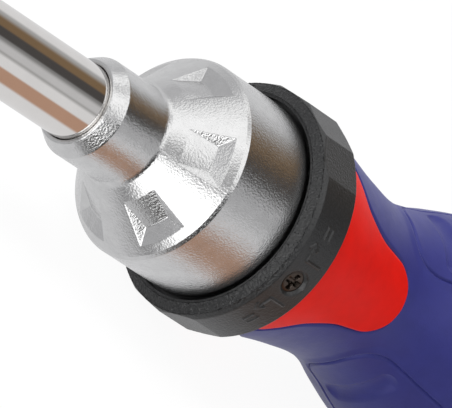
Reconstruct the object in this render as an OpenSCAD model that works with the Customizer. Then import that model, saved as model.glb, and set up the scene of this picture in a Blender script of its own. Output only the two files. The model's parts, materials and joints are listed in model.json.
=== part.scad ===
// Ratcheting screwdriver: chrome bit shaft, cast ratchet nose with a selector
// ring, two rocker pawls on a toothed wheel, and a two-colour handle with bits.
// Units are millimetres. Inside the modules Z runs along the tool, tip up, and
// Z is zero where the nose leaves the selector ring.

/* [Shaft] */
// Radius of the round shaft
shaft_r = 5.35; // [5.1:0.05:5.5]
// Length of shaft ahead of the nose boss
shaft_reach = 74.25; // [50:0.25:100]
// Width across the flats of the bit socket
socket_af = 6.4; // [6.35:0.01:6.5]
// Depth of the bit socket
socket_depth = 15; // [12:0.5:20]

/* [Nose] */
// Radius of the boss round the shaft
boss_r = 7.15; // [6.9:0.05:7.6]
// Length of the boss ahead of the cone
boss_len = 8.2; // [6:0.1:11]
// Length of the chamfer on the boss
boss_chamfer = 2.15; // [1:0.05:3]
// Length of the cone with the recesses
cone_len = 7.6; // [6.5:0.1:10]
// Step from the ring's outside down to the nose cylinder
nose_step = 2.65; // [2.5:0.05:2.8]
// Length of the nose cylinder ahead of the ring
nose_len = 12.8; // [10:0.1:16]
// Width of each recess in the cone
recess_w = 7.2; // [5:0.1:8]
// Depth of each recess at its outer wall
recess_depth = 1.2; // [0.8:0.05:1.6]

/* [Selector] */
// Thickness of the selector ring over its bore
ring_wall = 4.35; // [4.2:0.05:4.6]
// Length of the selector ring behind the nose shoulder
ring_len = 7.6; // [7.4:0.05:8]
// Angle that the ring turns from one direction to the other
swing_angle = 36; // [30:1:40]
// Sides of the ring when no zone is left round
ring_sides = 16; // [12:4:20]

/* [Ratchet] */
// Number of teeth on the wheel
tooth_count = 20; // [16:1:24]
// Wall of the wheel between its hexagon's flats and the tooth roots
wheel_wall = 3.5; // [3.3:0.02:3.7]
// Depth of the teeth
tooth_depth = 1.1; // [0.8:0.05:1.3]
// Angle that a pawl tilts between driving and lifted
pawl_tilt_angle = 14; // [13:0.5:15]

/* [Handle] */
// Length of the grip behind the ring
grip_len = 102; // [98:0.5:115]
// Largest radius of the grip
grip_r = 18.6; // [18.3:0.05:19.2]
// Thickness of the blue sleeve
sleeve_t = 2.8; // [2.5:0.05:3]
// Distance from the axis to each of the three flats on the bulb
flat_r = 16.8; // [16.75:0.05:17.2]
// Length of each red tongue on the grip
tongue_len = 20.3; // [17:0.1:24]

/* [Storage] */
// Length of the end cap behind the grip
cap_len = 8.1; // [6:0.1:12]
// Radius of the bit store in the handle
store_r = 11.2; // [11.15:0.05:11.5]
// Length of each stored bit
bit_len = 25; // [20:0.5:28]

/* [Hidden] */
$fn = 96;
over = 0.5;           // overrun of a cut past the face it opens
run_fit = 0.04;       // radial clearance of a turning fit
seat_fit = 0.02;      // clearance of a fixed fit
gap = 0.3;            // plain gap between moving faces
six = 6;
half = 0.5;
full_turn = 360;
half_turn = 180;

// radii, each from the one inside it
hex_af = 8;
chamber_gap = 0.2;
pawl_reach = 2.4;
pawl_room = 1.6;
bore_fit = 0.05;
face_gap = 0.65;
face_lip = 0.25;
wheel_root_r = half * hex_af + wheel_wall;
wheel_r = wheel_root_r + tooth_depth;
chamber_r = wheel_r + chamber_gap;
pivot_r = wheel_r + pawl_reach;
journal_r = pivot_r + pawl_room;
ring_bore = journal_r + bore_fit;
ring_r = ring_bore + ring_wall;
nose_r = ring_r - nose_step;
ring_face_r = nose_r + face_gap;
ring_nose_r = ring_face_r + face_lip;

// stations along the tool
cone_root = nose_len + cone_len;
boss_front = cone_root + boss_len + boss_chamfer;
tip_z = boss_front + shaft_reach;
grip_front = -(ring_len + gap);
grip_back = grip_front - grip_len;
butt_z = grip_back - cap_len;
shift_x = -(tip_z + butt_z) * half;
shift_z = max(flat_r, ring_r * cos(half_turn / ring_sides));

// directions round the tool
window_turn = 30;
panel_turn = 90;
third = 120;
rest_turn = window_turn - swing_angle * half;

// nose housing
rim_land = 0.25;
nose_shoulder = -0.9;
housing_back = -7.4;
chamber_front = 0.9;
front_step = 1.2;
front_r = boss_r - front_step;
cone_ease = 0.05;
cone_front_r = boss_r - cone_ease;
edge_r = 0.5;
bearing_r = shaft_r + run_fit;
recess_edge = 1.25;
recess_foot = 1.75;
recess_out_r = nose_r - recess_edge;
recess_in_r = boss_r + recess_foot;
recess_lift = 2;
recess_turn = 46;

// back plate
plate_t = 2.4;
stub_bore_r = 6.2;
plate_step = 0.05;
plate_r = journal_r - plate_step;
plate_back = housing_back - plate_t;
stub_wall = 1.8;
stub_r = stub_bore_r + stub_wall;
stub_len = 14.2;
stub_back = plate_back - stub_len;
tail_r = 3.9;
tail_bore = tail_r + run_fit;
bearing_back = -12;
screw_inset = 2.05;
screw_circle = plate_r - screw_inset;
screw_shank_r = 0.9;
screw_head_r = 1.7;
screw_head_t = 1.1;
screw_hole_r = screw_shank_r + seat_fit;
screw_head_bore = screw_head_r + run_fit;
screw_deep = 4.6;
screw_turns = [80, 210, 310];
drive_r = 0.8;
drive_deep = 0.6;

// ratchet wheel and spindle
wheel_front = -0.05;
wheel_back = -6.9;
washer_front = 0.8;
washer_back = 0.1;
washer_room = 0.6;
washer_r = chamber_r - washer_room;
ring_clip_gap = 0.15;
ring_clip_t = 0.8;
groove_deep = 0.75;
ring_clip_w = 2.2;
groove_r = tail_r - groove_deep;
ring_clip_in = groove_r + bore_fit;
ring_clip_out = ring_clip_in + ring_clip_w;
clip_front = bearing_back - ring_clip_gap;
tail_end = clip_front - 2 * ring_clip_t - over;
tooth_crest = 0.28;
tooth_root = 0.22;
tip_chamfer = 0.6;
bit_half = half * socket_af / cos(half_turn / six);
magnet_r = 2.6;
magnet_t = 3.6;
snap_z = 4;
snap_groove_r = 4.15;
snap_w = 1.1;
snap_mid_r = 3.72;
snap_wire = 0.36;
snap_gap_turn = 50;

// pawls, in a frame with X out from the tool and Y round it
pawl_spread_angle = 35;
hub_r = 1.35;
pin_r = 0.75;
pin_hole = pin_r + run_fit;
tip_xy = [-2.72, 3.05];
tip_back = [-2.25, 3.4];
tip_top = [-0.9, 3.4];
tail_xy = [1.8, -2.6];
tail_in = [1.6, -1.5];
tail_out = [1.35, -3.1];
tail_low = [0.2, -3.1];
arm_side = [-0.9, -0.8];
arm_top = [1.2, 0.35];
pawl_front = -1.6;
pawl_back = -5.8;
pocket_front = -1.3;
pocket_x = [-3.2, 2.6];
pocket_y = [-3.95, 4.1];
pin_front = 1.6;
pin_seat = 1.4;
coil_r = 1.12;
wire_r = 0.2;
coil_z = -6.6;
arm_len = 2.9;
arm_spread_angle = 62;
coil_turns = 2;
pivot_a = window_turn + half_turn + pawl_spread_angle;
pivot_b = window_turn + half_turn - pawl_spread_angle;

// selector ring
ring_front = 0.2;
ring_floor = -1.2;
ring_chamfer = 1.6;
ring_rear_chamfer = 0.4;
round_half_angle = 45;
pocket_clear = 0.15;
cam_run_angle = 10;
cam_lead_angle = 2;
cam_mid = window_turn + half_turn - swing_angle * half;
screw_z = -4;
dog_r = 0.8;
dog_deep = 1.1;
dog_in = journal_r - dog_deep;
dog_hole = dog_r + seat_fit;
slot_deep = 1.4;
slot_r = journal_r - slot_deep;
slot_clear = 0.35;
head_r = 1.7;
head_deep = 1.1;
head_sink = 0.05;

// detent leaf
leaf_turn = 125;
leaf_half_angle = 20;
leaf_t = 0.3;
leaf_rise = 1;
leaf_bump_half_angle = 7;
leaf_bed = slot_r;
leaf_w = 2.8;
leaf_room = 3;
notch_r = 1.1;
notch_deep = 0.7;
notch_out = ring_bore + notch_deep;

// handle
// station shares: of grip_len behind the front face, then of grip_r
grip_shares = [[0, 0.836], [0.0402, 0.7957], [0.0961, 0.7258], [0.1431, 0.6828],
  [0.1873, 0.6667], [0.2167, 0.6774], [0.251, 0.7204], [0.2951, 0.8065],
  [0.3637, 0.914], [0.4618, 0.9839], [0.6088, 1], [0.7559, 0.9677],
  [0.9029, 0.914], [1, 0.8548]];
// tongue shares: of tongue_len behind the front face, then of tongue_w
tongue_w = 11.2;
tongue_shares = [[0, 1], [0.43, 0.7], [0.69, 0.59], [0.87, 0.44], [0.95, 0.3], [1, 0.1]];
spans = 4;
plate_seat_r = plate_r + 4 * run_fit;
plate_seat_back = plate_back - seat_fit;
stub_seat_r = stub_r + seat_fit;
stub_seat_back = stub_back - gap;
store_len = 54;
store_front = grip_back + store_len;
dimple_turn = 18;
dimple_r = 2.4;
dimple_deep = 0.45;
dimple_pitch = 7.4;
dimple_first = 26.6;
dimple_count = 4;

// storage
cap_r = grip_r * grip_shares[13][1];
cap_round = 0.86;
plug_r = store_r - 0.15;
plug_len = 6;
seal_z = 3;
seal_wire = 0.8;
seal_squeeze = 0.06;
seal_groove = 1.6;
rack_r = store_r - 0.35;
rack_len = 14;
rack_top = grip_back + plug_len + rack_len;
bit_circle = 7.3;
bit_af = 6.35;
bit_fit = 0.05;
bit_seat = 8;
bit_hex_share = 0.42;
bit_neck_r = 2.3;
bit_neck_share = 0.3;
bit_foot = rack_top - bit_seat;
bit_turn = 30;
blade_w = [5.5, 4];
blade_t = [1, 0.8];
cross_r = [1.9, 2.3];
cross_w = [0.85, 1.1];
cross_tip = 0.7;
star_r = 1.75;
star_lobe = 0.42;
key_af = 4;

function hex_r(af) = af * half / cos(half_turn / six);
function polar(r, t) = [r * cos(t), r * sin(t)];
function turned(p, t) = [p.x * cos(t) - p.y * sin(t), p.x * sin(t) + p.y * cos(t)];

// smooth curve through a list of points
function bend(a, b, c, d, t) = half * (2 * b + (c - a) * t
  + (2 * a - 5 * b + 4 * c - d) * t * t + (3 * b - a - 3 * c + d) * t * t * t);
function smooth(p) = let(n = len(p) - 1) [for (i = [0 : n - 1], j = [0 : spans - 1])
  bend(p[max(i - 1, 0)], p[i], p[i + 1], p[min(i + 2, n)], j / spans), p[n]];
grip_curve = [for (s = smooth(grip_shares))
  [grip_r * s[1], grip_front - grip_len * s[0]]];

// where the tail of a pawl stands at a share of its lift
function tail_at(k) = [pivot_r, 0] + turned(tail_xy, -pawl_tilt_angle * k);

module lay() {
  translate([shift_x, 0, shift_z]) rotate([90, 0, 90]) children();
}

module tube_cut(r, z0, z1) {
  translate([0, 0, z0]) cylinder(r = r, h = z1 - z0);
}

module spin(points) {
  rotate_extrude() polygon(points);
}

module slab(z0, z1) {
  translate([0, 0, z0]) linear_extrude(z1 - z0) children();
}

module sector(r, t0, t1) {
  steps = 8;
  polygon(concat([[0, 0]], [for (i = [0 : steps]) polar(r, t0 + (t1 - t0) * i / steps)]));
}

module on_pivot(t) {
  rotate(t) translate([pivot_r, 0, 0]) children();
}

module grip_body(inset) {
  wall = [for (p = grip_curve) [p.x - inset, p.y]];
  spin(concat([[0, grip_front]], wall, [[0, grip_back]]));
}

module tongue_prisms() {
  side = [for (s = tongue_shares)
    [grip_front - tongue_len * s[0], tongue_w * s[1]]];
  n = len(side) - 1;
  outline = concat([[-grip_front, side[0].y], [grip_front, side[0].y]], side,
    [for (i = [n : -1 : 0]) [side[i].x, -side[i].y]],
    [[grip_front, -side[0].y], [-grip_front, -side[0].y]]);
  for (i = [0 : 2]) rotate(window_turn + third * i)
    rotate([0, 90, 0]) linear_extrude(2 * grip_r) mirror([1, 0]) polygon(outline);
}

module flats() {
  slab(2 * grip_back, tip_z) rotate(panel_turn)
    circle(r = flat_r / cos(half_turn / 3), $fn = 3);
}

module dimples() {
  for (k = [0 : 2], i = [0 : dimple_count - 1]) {
    z = grip_front - dimple_first - dimple_pitch * i;
    r = lookup(-z, [for (p = grip_curve) [-p.y, p.x]]) + dimple_r - dimple_deep;
    intersection() {
      rotate_extrude() translate([r, z]) circle(dimple_r, $fn = 24);
      slab(z - dimple_r, z + dimple_r) rotate(panel_turn + third * k)
        sector(2 * grip_r, -dimple_turn, dimple_turn);
    }
  }
}

module handle_core() {
  color([0.78, 0.08, 0.06]) lay() difference() {
    union() {
      grip_body(sleeve_t);
      intersection() {
        grip_body(0);
        tongue_prisms();
      }
    }
    tube_cut(plate_seat_r, plate_seat_back, 0);
    tube_cut(stub_seat_r, stub_seat_back, 0);
    tube_cut(store_r, grip_back - over, store_front);
  }
}

module grip_sleeve() {
  color([0.17, 0.2, 0.5]) lay() difference() {
    intersection() {
      grip_body(0);
      flats();
    }
    difference() {
      grip_body(sleeve_t);
      tube_cut(over, 2 * grip_back, 3 * grip_back * half);
    }
    tube_cut(plate_seat_r, plate_seat_back, 0);
    tube_cut(store_r, grip_back - over, grip_back + over);
    tongue_prisms();
    dimples();
  }
}

module nose_outside() {
  spin([[0, housing_back], [journal_r, housing_back], [journal_r, nose_shoulder],
    [nose_r - edge_r, nose_shoulder], [nose_r, nose_shoulder + edge_r],
    [nose_r, nose_len - rim_land], [nose_r - rim_land, nose_len],
    [cone_front_r + edge_r, cone_root - edge_r], [boss_r, cone_root + edge_r],
    [boss_r, cone_root + boss_len], [front_r, boss_front], [0, boss_front]]);
}

function cone_at(r) = [r, nose_len + (nose_r - rim_land - r) * cone_len
  / (nose_r - rim_land - cone_front_r)];

module cone_recess() {
  slope = atan(cone_len / (nose_r - rim_land - cone_front_r));
  out = [sin(slope), cos(slope)];
  rotate(recess_turn) translate([0, recess_w * half, 0]) rotate([90, 0, 0])
    linear_extrude(recess_w)
    polygon([cone_at(recess_out_r) - recess_depth * out, cone_at(recess_in_r),
      cone_at(recess_in_r) + recess_lift * out, cone_at(recess_out_r) + recess_lift * out
      + [recess_lift * half, 0]]);
}

module dog_slot() {
  half_w = asin((dog_r + slot_clear) / dog_in);
  slab(screw_z - dog_r - slot_clear, screw_z + dog_r + slot_clear) difference() {
    sector(journal_r + over, rest_turn - half_w, rest_turn + swing_angle + half_w);
    circle(slot_r);
  }
}

module leaf_bed_cut() {
  slab(screw_z - leaf_room * half, screw_z + leaf_room * half) difference() {
    sector(journal_r + over, leaf_turn - leaf_half_angle - 1, leaf_turn + leaf_half_angle + 1);
    circle(leaf_bed);
  }
}

module nose_housing() {
  color([0.72, 0.73, 0.74]) lay() difference() {
    nose_outside();
    tube_cut(bearing_r, 0, boss_front + over);
    tube_cut(chamber_r, housing_back - over, chamber_front);
    for (i = [0 : six - 1]) rotate(full_turn / six * i) cone_recess();
    for (t = [pivot_a, pivot_b]) on_pivot(t) {
      tube_cut(pin_r + seat_fit, 0, pin_front + seat_fit);
      tube_cut(pin_r + seat_fit, pocket_front - over, 0);
    }
    for (m = [0, 1]) rotate(window_turn) mirror([0, m, 0]) rotate(-window_turn)
      on_pivot(pivot_a) slab(housing_back - over, pocket_front)
      translate([pocket_x[0], pocket_y[0]])
      square([pocket_x[1] - pocket_x[0], pocket_y[1] - pocket_y[0]]);
    for (t = screw_turns) rotate(t) translate([screw_circle, 0, 0])
      tube_cut(screw_hole_r, housing_back - over, housing_back + screw_deep);
    dog_slot();
    leaf_bed_cut();
  }
}

module back_plate() {
  color([0.5, 0.51, 0.52]) lay() difference() {
    union() {
      tube_cut(plate_r, plate_back, housing_back);
      tube_cut(stub_r, stub_back, plate_back + over);
    }
    tube_cut(tail_bore, bearing_back - over, housing_back + over);
    tube_cut(stub_bore_r, stub_back - over, bearing_back);
    for (t = [pivot_a, pivot_b]) on_pivot(t)
      tube_cut(pin_r + seat_fit, housing_back - pin_seat, housing_back + over);
    for (t = screw_turns) rotate(t) translate([screw_circle, 0, 0]) {
      tube_cut(screw_hole_r, plate_back - over, housing_back + over);
      tube_cut(screw_head_bore, plate_back - over, plate_back + screw_head_t);
    }
  }
}

module plate_screw(i) {
  color([0.35, 0.35, 0.37]) lay() rotate(screw_turns[i]) translate([screw_circle, 0, 0])
    difference() {
      union() {
        tube_cut(screw_head_r, plate_back, plate_back + screw_head_t);
        tube_cut(screw_shank_r, plate_back, housing_back + screw_deep - gap);
      }
      translate([0, 0, plate_back - over])
        cylinder(r = drive_r, h = drive_deep + over, $fn = six);
    }
}

module plate_screw_1() {
  plate_screw(0);
}

module plate_screw_2() {
  plate_screw(1);
}

module plate_screw_3() {
  plate_screw(2);
}

module pawl_pin(t) {
  color([0.6, 0.6, 0.62]) lay() on_pivot(t)
    tube_cut(pin_r, housing_back - pin_seat + seat_fit, pin_front);
}

module pawl_pin_a() {
  pawl_pin(pivot_a);
}

module pawl_pin_b() {
  pawl_pin(pivot_b);
}

module pawl_spring() {
  wire = 2 * wire_r;
  for (i = [0 : coil_turns - 1]) translate([0, 0, coil_z + wire * (i - half)])
    rotate_extrude($fn = 24) translate([coil_r - wire_r, -wire_r])
    square([wire, wire]);
  for (i = [0 : coil_turns - 1]) rotate(half_turn + arm_spread_angle * (2 * i - 1))
    translate([coil_r - wire_r, -wire_r, coil_z - wire_r + wire * (i - half)])
    cube([arm_len - coil_r, wire, wire]);
}

module pawl_spring_a() {
  color([0.45, 0.45, 0.48]) lay() on_pivot(pivot_a) pawl_spring();
}

module pawl_spring_b() {
  color([0.45, 0.45, 0.48]) lay() on_pivot(pivot_b) pawl_spring();
}

function leaf_r(t) = leaf_bed + seat_fit
  + leaf_rise * max(0, cos(panel_turn * (t - leaf_turn) / leaf_bump_half_angle))
  * (abs(t - leaf_turn) < leaf_bump_half_angle ? 1 : 0);

module detent_spring() {
  turns = [for (t = [leaf_turn - leaf_half_angle : 1 : leaf_turn + leaf_half_angle]) t];
  n = len(turns) - 1;
  color([0.55, 0.55, 0.58]) lay()
    slab(screw_z - leaf_w * half, screw_z + leaf_w * half)
    polygon(concat([for (t = turns) polar(leaf_r(t), t)],
      [for (i = [n : -1 : 0]) polar(leaf_r(turns[i]) + leaf_t, turns[i])]));
}

module shaft() {
  color([0.8, 0.8, 0.82]) lay() difference() {
    union() {
      spin([[0, wheel_front], [shaft_r, wheel_front], [shaft_r, tip_z - tip_chamfer],
        [shaft_r - tip_chamfer, tip_z], [0, tip_z]]);
      translate([0, 0, wheel_back])
        cylinder(r = hex_r(hex_af), h = wheel_front - wheel_back + over, $fn = six);
      tube_cut(tail_r, tail_end, wheel_back + over);
    }
    translate([0, 0, tip_z - socket_depth])
      cylinder(r = bit_half, h = socket_depth + over, $fn = six);
    tube_cut(magnet_r + seat_fit, tip_z - socket_depth - magnet_t, tip_z - socket_depth);
    tube_cut(snap_groove_r, tip_z - snap_z - snap_w, tip_z - snap_z);
    difference() {
      tube_cut(tail_r + over, clip_front - ring_clip_t - seat_fit, clip_front + seat_fit);
      tube_cut(groove_r, 2 * clip_front, 0);
    }
  }
}

module bit_magnet() {
  color([0.3, 0.3, 0.32]) lay()
    tube_cut(magnet_r, tip_z - socket_depth - magnet_t, tip_z - socket_depth - seat_fit);
}

module bit_clip() {
  mid_z = tip_z - snap_z - snap_w * half;
  color([0.6, 0.6, 0.62]) lay() rotate(snap_gap_turn * half)
    rotate_extrude(angle = full_turn - snap_gap_turn)
    translate([snap_mid_r, mid_z]) circle(snap_wire, $fn = 16);
}

module thrust_washer() {
  color([0.7, 0.55, 0.3]) lay() slab(washer_back, washer_front) difference() {
    circle(washer_r);
    circle(bearing_r);
  }
}

module ratchet_gear() {
  pitch = full_turn / tooth_count;
  root = wheel_root_r;
  color([0.55, 0.55, 0.57]) lay() slab(wheel_back, wheel_front) difference() {
    polygon([for (i = [0 : tooth_count - 1], k = [0 : 3]) let(
      share = [-tooth_crest, tooth_crest, 1 - tooth_root - tooth_crest,
        1 - tooth_crest - tooth_crest][k],
      r = [wheel_r, wheel_r, root, root][k])
      polar(r, pitch * (i + (k == 2 ? half - tooth_root * half
        : k == 3 ? half + tooth_root * half : share * half)))]);
    circle(r = hex_r(hex_af + 2 * seat_fit), $fn = six);
  }
}

module retaining_ring() {
  color([0.35, 0.35, 0.37]) lay() slab(clip_front - ring_clip_t, clip_front) difference() {
    circle(ring_clip_out);
    circle(ring_clip_in);
    translate([0, -ring_clip_in * half]) square([ring_clip_out + over, ring_clip_in]);
  }
}

module cam_pocket() {
  steps = 12;
  floor_pts = [for (i = [0 : steps]) let(k = i / steps, p = tail_at(k))
    polar(norm(p) + pocket_clear, pivot_a + atan2(p.y, p.x) - swing_angle * k)];
  deep = norm(tail_at(0)) + pocket_clear;
  deep_t = pivot_a + atan2(tail_at(0).y, tail_at(0).x);
  inner = ring_bore - over;
  polygon(concat([polar(inner, deep_t + cam_run_angle)],
    [for (t = [cam_run_angle : -cam_lead_angle : cam_lead_angle]) polar(deep, deep_t + t)], floor_pts,
    [for (t = [-swing_angle : cam_lead_angle * 2 : cam_run_angle]) polar(inner, deep_t + t)]));
}

module selector_ring() {
  color([0.06, 0.06, 0.07]) lay() difference() {
    intersection() {
      slab(-ring_len, ring_front) rotate(rest_turn) {
        rotate(round_half_angle) circle(r = ring_r, $fn = ring_sides);
        intersection() {
          circle(ring_r);
          sector(2 * ring_r, -round_half_angle, round_half_angle);
        }
      }
      spin([[0, -ring_len], [ring_r - ring_rear_chamfer, -ring_len],
        [ring_r, -ring_len + ring_rear_chamfer], [ring_r, ring_front - ring_chamfer],
        [ring_nose_r, ring_front], [0, ring_front]]);
    }
    tube_cut(ring_bore, -ring_len - over, over);
    tube_cut(ring_face_r, ring_floor, ring_front + over);
    slab(-ring_len - over, pocket_front) rotate(cam_mid) for (m = [0, 1])
      mirror([0, m, 0]) rotate(-cam_mid) cam_pocket();
    for (k = [0 : 2]) rotate(leaf_turn - swing_angle * half * k)
      translate([notch_out - notch_r + seat_fit, 0, screw_z - leaf_room * half])
      cylinder(r = notch_r, h = leaf_room, $fn = 24);
    rotate(rest_turn) translate([0, 0, screw_z]) rotate([0, 90, 0]) {
      tube_cut(dog_hole, dog_in, ring_r + over);
      sink = head_deep + head_sink + over;
      translate([0, 0, ring_r - head_deep - head_sink])
        cylinder(r1 = dog_hole, r2 = dog_hole + sink * (head_r - dog_r) / head_deep, h = sink);
    }
  }
}

module selector_screw() {
  color([0.75, 0.75, 0.77]) lay() rotate(rest_turn) translate([0, 0, screw_z])
    rotate([0, 90, 0]) difference() {
      union() {
        tube_cut(dog_r, dog_in, ring_r - head_deep);
        translate([0, 0, ring_r - head_deep - head_sink])
          cylinder(r1 = dog_r, r2 = head_r, h = head_deep);
      }
      for (i = [0, 1]) rotate(panel_turn * i) translate([0, 0, ring_r])
        cube([2 * drive_r + over, drive_r * half, drive_deep * 2], center = true);
    }
}

module pawl_body() {
  difference() {
    union() {
      tube_cut(hub_r, pawl_back, pawl_front);
      slab(pawl_back, pawl_front) polygon([arm_side, tip_xy, tip_back, tip_top,
        arm_top, tail_in, tail_xy, tail_out, tail_low]);
    }
    tube_cut(pin_hole, pawl_back - over, pawl_front + over);
  }
}

module pawl_a() {
  color([0.6, 0.6, 0.63]) lay() on_pivot(pivot_a) pawl_body();
}

module pawl_b() {
  color([0.6, 0.6, 0.63]) lay() on_pivot(pivot_b) mirror([0, 1, 0])
    rotate(-pawl_tilt_angle) pawl_body();
}

module end_cap() {
  rise = cap_len * half;
  color([0.78, 0.08, 0.06]) lay() difference() {
    union() {
      spin(concat([[0, grip_back], [cap_r, grip_back]],
        [for (t = [0 : 10 : 90]) [cap_r * cap_round + cap_r * (1 - cap_round) * cos(t),
          grip_back - rise - (cap_len - rise) * sin(t)]], [[0, butt_z]]));
      tube_cut(plug_r, grip_back - over, grip_back + plug_len);
    }
    difference() {
      tube_cut(plug_r + over, grip_back + seal_z - seal_groove * half,
        grip_back + seal_z + seal_groove * half);
      tube_cut(store_r - seal_groove - seal_squeeze, butt_z, 0);
    }
  }
}

module cap_seal() {
  color([0.05, 0.05, 0.05]) lay() rotate_extrude()
    translate([store_r - seal_squeeze * half - seal_wire, grip_back + seal_z])
    circle(seal_wire - seal_squeeze * half, $fn = 20);
}

module bit_spot(i) {
  rotate(window_turn + full_turn / six * i) translate([bit_circle, 0, 0]) children();
}

module bit_rack() {
  color([0.12, 0.12, 0.13]) lay() difference() {
    tube_cut(rack_r, grip_back + plug_len, rack_top);
    for (i = [0 : six - 1]) bit_spot(i) translate([0, 0, bit_foot]) rotate(bit_turn)
      cylinder(r = hex_r(bit_af + 2 * bit_fit), h = bit_seat + over, $fn = six);
  }
}

module bit_blank(i) {
  hex_len = bit_len * bit_hex_share;
  color([0.45, 0.46, 0.48]) lay() bit_spot(i) translate([0, 0, bit_foot]) {
    rotate(bit_turn) cylinder(r = hex_r(bit_af), h = hex_len, $fn = six);
    tube_cut(bit_neck_r, hex_len - over, hex_len + bit_len * bit_neck_share);
    translate([0, 0, hex_len + bit_len * bit_neck_share - over])
      linear_extrude(over + bit_len * (1 - bit_hex_share - bit_neck_share))
      children();
  }
}

module cross_shape(k) {
  intersection() {
    circle(cross_r[k], $fn = 24);
    for (t = [0, panel_turn]) rotate(t)
      square([2 * cross_r[k], cross_w[k]], center = true);
  }
  circle(cross_w[k] * cross_tip, $fn = 24);
}

module bit_1() {
  bit_blank(0) cross_shape(0);
}

module bit_2() {
  bit_blank(1) cross_shape(1);
}

module bit_3() {
  bit_blank(2) square([blade_w[0], blade_t[0]], center = true);
}

module bit_4() {
  bit_blank(3) square([blade_w[1], blade_t[1]], center = true);
}

module bit_5() {
  bit_blank(4) union() {
    circle(star_r - star_lobe, $fn = 24);
    for (i = [0 : six - 1]) rotate(full_turn / six * i)
      translate([star_r - star_lobe, 0]) circle(star_lobe, $fn = 16);
  }
}

module bit_6() {
  bit_blank(5) circle(r = hex_r(key_af), $fn = six);
}

handle_core();
grip_sleeve();
nose_housing();
back_plate();
plate_screw_1();
plate_screw_2();
plate_screw_3();
pawl_pin_a();
pawl_pin_b();
pawl_spring_a();
pawl_spring_b();
detent_spring();
shaft();
bit_magnet();
bit_clip();
thrust_washer();
ratchet_gear();
retaining_ring();
selector_ring();
selector_screw();
pawl_a();
pawl_b();
end_cap();
cap_seal();
bit_rack();
bit_1();
bit_2();
bit_3();
bit_4();
bit_5();
bit_6();
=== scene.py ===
"""Ratcheting screwdriver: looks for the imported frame.

Sizes are in mm. Places along the tool count from where the nose leaves the selector ring and grow
towards the tip. Turns about it are in degrees, 0 level at +Y and 90 straight up. put() takes them
into the frame, in metres.
"""
import json
import math

import bmesh
import bpy
import numpy as np
from mathutils import Matrix, Vector


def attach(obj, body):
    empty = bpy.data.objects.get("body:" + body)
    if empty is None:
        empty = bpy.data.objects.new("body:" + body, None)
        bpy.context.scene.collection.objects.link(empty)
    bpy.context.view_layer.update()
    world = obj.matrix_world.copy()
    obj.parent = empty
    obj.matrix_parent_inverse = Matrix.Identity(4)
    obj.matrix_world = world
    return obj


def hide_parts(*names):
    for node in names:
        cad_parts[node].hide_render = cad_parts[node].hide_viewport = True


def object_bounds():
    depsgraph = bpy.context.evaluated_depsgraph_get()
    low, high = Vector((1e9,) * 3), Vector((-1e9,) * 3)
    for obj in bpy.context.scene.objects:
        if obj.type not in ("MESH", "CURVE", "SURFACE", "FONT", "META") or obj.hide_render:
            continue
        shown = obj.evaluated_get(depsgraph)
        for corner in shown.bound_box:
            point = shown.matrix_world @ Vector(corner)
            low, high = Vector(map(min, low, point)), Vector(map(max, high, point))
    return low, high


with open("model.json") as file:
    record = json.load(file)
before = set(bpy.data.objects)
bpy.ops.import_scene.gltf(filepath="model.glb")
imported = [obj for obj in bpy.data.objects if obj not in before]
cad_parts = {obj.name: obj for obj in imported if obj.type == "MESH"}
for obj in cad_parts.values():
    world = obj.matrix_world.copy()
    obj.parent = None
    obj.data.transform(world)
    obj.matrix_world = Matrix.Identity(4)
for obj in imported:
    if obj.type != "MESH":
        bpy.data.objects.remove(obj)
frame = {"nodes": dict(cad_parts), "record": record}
NODES = frame["nodes"]
cad_box = [list(v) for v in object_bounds()]

MM = 0.001
SHIFT_X, SHIFT_Z = 6.5, 16.8      # where the tool's own zero lies in the frame
TIP = round(cad_box[1][0] / MM - SHIFT_X, 3)
BUTT = round(cad_box[0][0] / MM - SHIFT_X, 3)
WINDOW, THIRD = 30.0, 120.0       # turn of the first red tongue, and from one to the next
SWING = 36.0                      # travel of the selector ring
REST = WINDOW - SWING / 2         # turn of the ring's screw at rest
RUN_FIT = 0.04                    # radial clearance of a turning fit
WELD = 1e-7                       # vertices closer than this become one, in metres


# Materials
def lin(r, g, b):
    """Display colour to scene-linear."""
    linear = [c / 12.92 if c < 0.04045 else ((c + 0.055) / 1.055) ** 2.4 for c in (r, g, b)]
    return (*linear, 1.0)


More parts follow.
